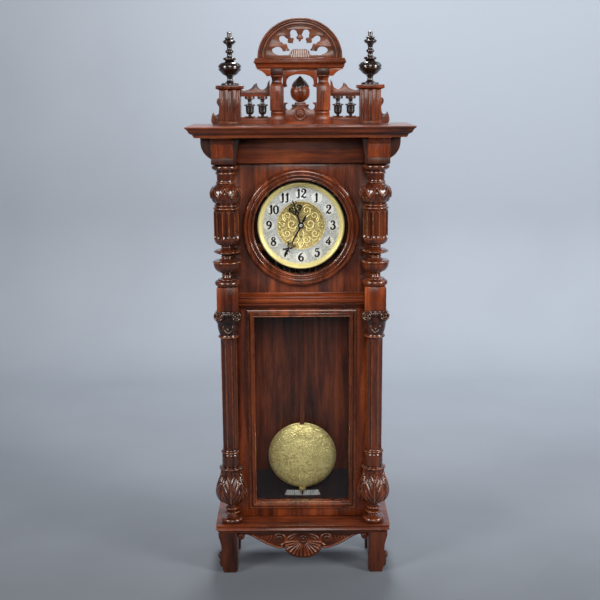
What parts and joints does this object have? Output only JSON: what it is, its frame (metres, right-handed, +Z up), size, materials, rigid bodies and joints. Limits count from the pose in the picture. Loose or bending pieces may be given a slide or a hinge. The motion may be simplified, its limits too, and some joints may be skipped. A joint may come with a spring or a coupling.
{
  "type": "pendulum wall clock",
  "caption": "Wall clock with a hinged glazed door, turned columns, a fretted crown, a round dial with two hands, a spring movement and a swinging pendulum.",
  "frame": {"origin": "bottom centre of the clock's bounding box, on the surface under its feet", "axes": "+Z up, the dial faces -Y, +X to the right as one looks at the dial, the flat back faces +Y"},
  "size_m": [0.454, 0.2, 1.1717],
  "materials": {
    "walnut": "shellac polished walnut, reddish brown with a fine straight grain",
    "dark_walnut": "dark stained and polished turned walnut, worn lighter on its edges",
    "ebonised": "ebonised and polished turned wood",
    "brass": "polished and lacquered brass",
    "steel": "blued or bright steel",
    "silvered": "silvered dial metal with black figures",
    "glass": "clear window glass"
  },
  "bodies": {
    "case": {"backboard": "walnut", "wall_hanger": "brass", "side_left": "walnut", "side_right": "walnut", "plinth": "walnut", "cornice": "walnut", "frieze": "walnut", "corbel_left": "walnut", "corbel_right": "walnut", "foot_left": "dark_walnut", "foot_right": "dark_walnut", "apron": "walnut", "pedestal_left": "walnut", "pedestal_right": "walnut", "finial_left": "ebonised", "finial_right": "ebonised", "gallery_left": "dark_walnut", "gallery_right": "dark_walnut", "pilaster_left": "walnut", "pilaster_right": "walnut", "crown_panel": "walnut", "crown_bud": "dark_walnut", "entablature": "walnut", "lunette": "walnut", "scroll_bracket_left": "dark_walnut", "scroll_bracket_right": "dark_walnut", "hinge_upper": "brass", "hinge_lower": "brass", "seatboard": "walnut", "back_plate": "brass", "front_plate": "brass", "gong": "steel", "dial": "silvered", "bezel": "brass", "beat_scale": "silvered"},
    "door": {"door_frame": "walnut", "dial_glass": "glass", "long_glass": "glass", "dial_ring": "walnut", "sight_moulding": "walnut", "mid_rail": "walnut", "block_left": "walnut", "block_right": "walnut", "upper_column_left": "dark_walnut", "upper_column_right": "dark_walnut", "lower_column_left": "dark_walnut", "lower_column_right": "dark_walnut"},
    "door_hook": {"door_hook": "brass"},
    "pendulum": {"pendulum_hook": "steel", "pendulum_rod": "walnut", "pendulum_bob": "brass"},
    "rating_nut": {"rating_nut": "brass"},
    "anchor": {"anchor": "steel"},
    "minute_hand": {"minute_hand": "steel", "centre_wheel": "brass"},
    "hour_hand": {"hour_hand": "steel"},
    "barrel_left": {"winding_barrel_left": "brass"},
    "barrel_right": {"winding_barrel_right": "brass"},
    "escape_wheel": {"escape_wheel": "brass"},
    "strike_hammer": {"strike_hammer": "steel"}
  },
  "joints": [
    {"name": "door_hinge", "type": "hinge", "parent": "case", "child": "door", "pos_m": [0.1586, 0.0137, 0.5], "axis": [0, 0, 1], "range_deg": [0, 105]},
    {"name": "hook_turn", "type": "hinge", "parent": "case", "child": "door_hook", "pos_m": [-0.1575, 0.035, 0.5085], "axis": [1, 0, 0], "range_deg": [0, 90]},
    {"name": "pendulum_swing", "type": "hinge", "parent": "case", "child": "pendulum", "pos_m": [0, 0.066, 0.8006], "axis": [0, 1, 0], "range_deg": [-6, 6]},
    {"name": "anchor_rock", "type": "hinge", "parent": "case", "child": "anchor", "pos_m": [0, 0.05, 0.8006], "axis": [0, 1, 0], "range_deg": [-6, 6]},
    {"name": "rating_nut_turn", "type": "hinge", "parent": "pendulum", "child": "rating_nut", "pos_m": [0, 0.066, 0.1451], "axis": [0, 0, 1], "continuous": true},
    {"name": "minute_turn", "type": "hinge", "parent": "case", "child": "minute_hand", "pos_m": [0, 0.022, 0.7486], "axis": [0, 1, 0], "continuous": true},
    {"name": "hour_turn", "type": "hinge", "parent": "case", "child": "hour_hand", "pos_m": [0, 0.025, 0.7486], "axis": [0, 1, 0], "continuous": true},
    {"name": "wind_left", "type": "hinge", "parent": "case", "child": "barrel_left", "pos_m": [-0.0453, 0.045, 0.7486], "axis": [0, 1, 0], "continuous": true},
    {"name": "wind_right", "type": "hinge", "parent": "case", "child": "barrel_right", "pos_m": [0.0453, 0.045, 0.7486], "axis": [0, 1, 0], "continuous": true},
    {"name": "escape_turn", "type": "hinge", "parent": "case", "child": "escape_wheel", "pos_m": [0, 0.045, 0.7746], "axis": [0, 1, 0], "continuous": true},
    {"name": "hammer_lift", "type": "hinge", "parent": "case", "child": "strike_hammer", "pos_m": [-0.0545, 0.07, 0.7206], "axis": [0, 1, 0], "range_deg": [0, 15]}
  ],
  "couplings": [
    {"joint": "anchor_rock", "follows": "pendulum_swing", "ratio": 1},
    {"joint": "hour_turn", "follows": "minute_turn", "ratio": 0.083333}
  ]
}
